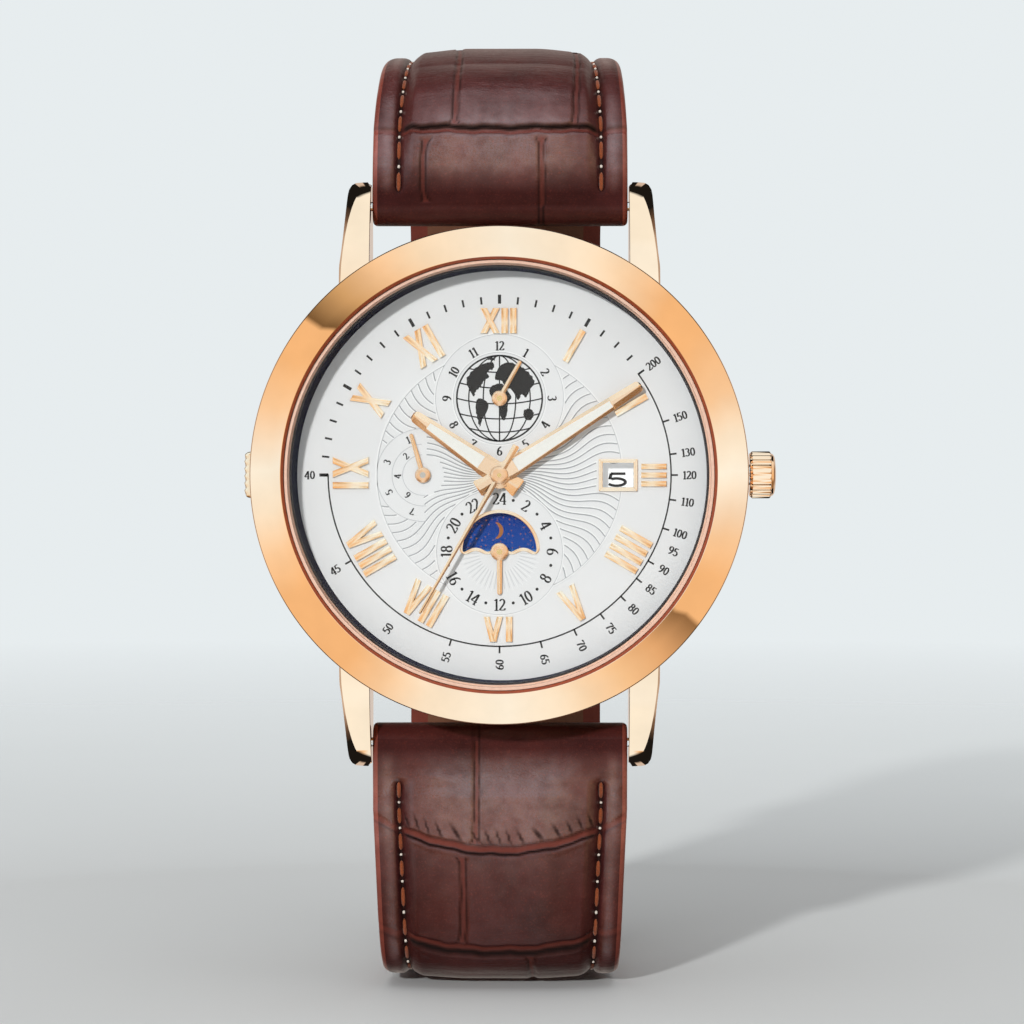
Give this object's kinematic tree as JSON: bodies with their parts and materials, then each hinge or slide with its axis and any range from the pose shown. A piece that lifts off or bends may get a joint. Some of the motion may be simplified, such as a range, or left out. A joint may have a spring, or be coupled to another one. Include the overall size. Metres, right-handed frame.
{
  "type": "quartz wristwatch",
  "caption": "Round analogue quartz wristwatch with sub-dials, day-night aperture, fluted crown, four lugs and a closed padded leather strap with a pin buckle.",
  "frame": {"origin": "centre of the case back's flat outer face, on the dial's axis", "axes": "+Y out of the case back towards the wrist, -Y out of the dial towards the reader, +Z towards 12 o'clock, +X towards 3 o'clock and the crown"},
  "size_m": [0.0454, 0.0467, 0.0828],
  "materials": {
    "rose_gold": "polished rose-gold plated steel",
    "steel": "satin",
    "polished_steel": "polished",
    "sapphire": "clear",
    "gasket": "matt",
    "clear_gasket": "translucent",
    "flange_blue": "gloss navy",
    "plate_brass": "fine grained",
    "wheel_brass": "polished",
    "holder": "moulded",
    "board": "solder mask",
    "copper": "enamelled wire",
    "iron": "grey",
    "screw_blue": "blued",
    "dial_white": "satin silver-white",
    "applied": "polished rose gold",
    "hand_gold": "polished rose gold",
    "disc_white": "printed",
    "disc_blue": "printed",
    "leather": "glossy padded",
    "keeper_leather": "glossy"
  },
  "bodies": {
    "watch": {"mid_case": "rose_gold", "bezel": "rose_gold", "crystal": "sapphire", "crystal_gasket": "clear_gasket", "flange_ring": "flange_blue", "case_back": "polished_steel", "case_back_gasket": "gasket", "crown_tube": "steel", "movement_holder": "holder", "main_plate": "plate_brass", "train_bridge": "plate_brass", "battery": "polished_steel", "battery_clamp": "steel", "circuit_board": "board", "quartz_can": "steel", "coil": "copper", "stator": "iron", "date_jumper": "steel", "movement_screws": "screw_blue", "dial": "dial_white", "hour_numerals": "applied", "date_frame": "applied", "aperture_frame": "applied", "strap_12": "leather", "strap_6": "leather", "fixed_keeper": "keeper_leather", "buckle_bar": "steel", "strap_bars": "steel", "pusher_spring": "steel"},
    "seconds": {"fourth_wheel": "wheel_brass", "seconds_hand": "hand_gold"},
    "fifth": {"fifth_wheel": "wheel_brass"},
    "rotor": {"rotor": "iron"},
    "third": {"third_wheel": "wheel_brass"},
    "minutes": {"centre_wheel": "wheel_brass", "cannon_pinion": "wheel_brass", "minute_hand": "hand_gold"},
    "minute_works": {"minute_wheel": "wheel_brass"},
    "setting": {"setting_wheel": "wheel_brass"},
    "hours": {"hour_wheel": "wheel_brass", "hour_hand": "hand_gold"},
    "idler": {"idler_wheel": "wheel_brass"},
    "day_night": {"day_night_wheel": "wheel_brass", "day_night_disc": "disc_blue", "hand_24h": "hand_gold"},
    "date": {"date_disc": "disc_white"},
    "weekday": {"weekday_star": "wheel_brass", "weekday_hand": "hand_gold"},
    "month": {"month_wheel": "wheel_brass", "month_hand": "hand_gold"},
    "pinion": {"sliding_pinion": "wheel_brass"},
    "crown": {"crown": "rose_gold", "crown_gasket": "gasket", "stem": "steel"},
    "lever": {"setting_lever": "steel"},
    "push_piece": {"pusher": "rose_gold"},
    "buckle": {"buckle_frame": "rose_gold"},
    "tongue": {"buckle_tongue": "rose_gold"},
    "keeper": {"free_keeper": "keeper_leather"}
  },
  "joints": [
    {"name": "seconds_spin", "type": "hinge", "parent": "watch", "child": "seconds", "pos_m": [0, 0, 0], "axis": [0, 1, 0], "continuous": true},
    {"name": "fifth_spin", "type": "hinge", "parent": "watch", "child": "fifth", "pos_m": [-0.0027, 0, 0.00156], "axis": [0, 1, 0], "continuous": true},
    {"name": "rotor_spin", "type": "hinge", "parent": "watch", "child": "rotor", "pos_m": [-0.00513, 0, 0.00296], "axis": [0, 1, 0], "continuous": true},
    {"name": "third_spin", "type": "hinge", "parent": "watch", "child": "third", "pos_m": [0.00265, 0, -0.00153], "axis": [0, 1, 0], "continuous": true},
    {"name": "minutes_spin", "type": "hinge", "parent": "watch", "child": "minutes", "pos_m": [0, 0, 0], "axis": [0, 1, 0], "continuous": true},
    {"name": "minute_works_spin", "type": "hinge", "parent": "watch", "child": "minute_works", "pos_m": [0.0024, 0, 0], "axis": [0, 1, 0], "continuous": true},
    {"name": "setting_spin", "type": "hinge", "parent": "watch", "child": "setting", "pos_m": [0.0054, 0, 0], "axis": [0, 1, 0], "continuous": true},
    {"name": "hours_spin", "type": "hinge", "parent": "watch", "child": "hours", "pos_m": [0, 0, 0], "axis": [0, 1, 0], "continuous": true},
    {"name": "idler_spin", "type": "hinge", "parent": "watch", "child": "idler", "pos_m": [0, 0, -0.0025], "axis": [0, 1, 0], "continuous": true},
    {"name": "day_night_spin", "type": "hinge", "parent": "watch", "child": "day_night", "pos_m": [0, 0, -0.0065], "axis": [0, 1, 0], "continuous": true},
    {"name": "date_spin", "type": "hinge", "parent": "watch", "child": "date", "pos_m": [0, 0, 0], "axis": [0, 1, 0], "continuous": true},
    {"name": "weekday_spin", "type": "hinge", "parent": "watch", "child": "weekday", "pos_m": [-0.0065, 0, 0], "axis": [0, 1, 0], "continuous": true},
    {"name": "month_spin", "type": "hinge", "parent": "watch", "child": "month", "pos_m": [0, 0, 0.0065], "axis": [0, 1, 0], "continuous": true},
    {"name": "crown_turn", "type": "hinge", "parent": "watch", "child": "pinion", "pos_m": [0.01, -0.0042, 0], "axis": [1, 0, 0], "continuous": true},
    {"name": "crown_pull", "type": "slide", "parent": "pinion", "child": "crown", "axis": [1, 0, 0], "range_m": [0, 0.0012]},
    {"name": "lever_swing", "type": "hinge", "parent": "watch", "child": "lever", "pos_m": [0.012, -0.0034, 0.0026], "axis": [0, 1, 0], "range_deg": [-27, 1]},
    {"name": "push_piece_press", "type": "slide", "parent": "watch", "child": "push_piece", "axis": [1, 0, 0], "range_m": [0, 0.0005], "stiffness_N_per_m": 400, "springref_m": -0.0003, "deforming": ["pusher_spring"]},
    {"name": "buckle_swing", "type": "hinge", "parent": "watch", "child": "buckle", "pos_m": [0, 0.03135, 0.002], "axis": [1, 0, 0], "range_deg": [0, 5]},
    {"name": "tongue_swing", "type": "hinge", "parent": "buckle", "child": "tongue", "pos_m": [0, 0.03135, 0.002], "axis": [1, 0, 0], "range_deg": [0, 6]},
    {"name": "keeper_slide", "type": "slide", "parent": "watch", "child": "keeper", "axis": [0, 0, 1], "range_m": [-0.0015, 0.004]}
  ],
  "couplings": [
    {"joint": "fifth_spin", "follows": "seconds_spin", "ratio": -5},
    {"joint": "rotor_spin", "follows": "seconds_spin", "ratio": 30},
    {"joint": "third_spin", "follows": "seconds_spin", "ratio": -0.13333},
    {"joint": "minutes_spin", "follows": "seconds_spin", "ratio": 0.016667},
    {"joint": "minute_works_spin", "follows": "seconds_spin", "ratio": -0.0055556},
    {"joint": "setting_spin", "follows": "seconds_spin", "ratio": 0.0083333},
    {"joint": "hours_spin", "follows": "seconds_spin", "ratio": 0.0013889},
    {"joint": "idler_spin", "follows": "seconds_spin", "ratio": -0.0020833},
    {"joint": "day_night_spin", "follows": "seconds_spin", "ratio": 0.00069444},
    {"joint": "lever_swing", "follows": "crown_pull", "rad_per_m": -378}
  ]
}
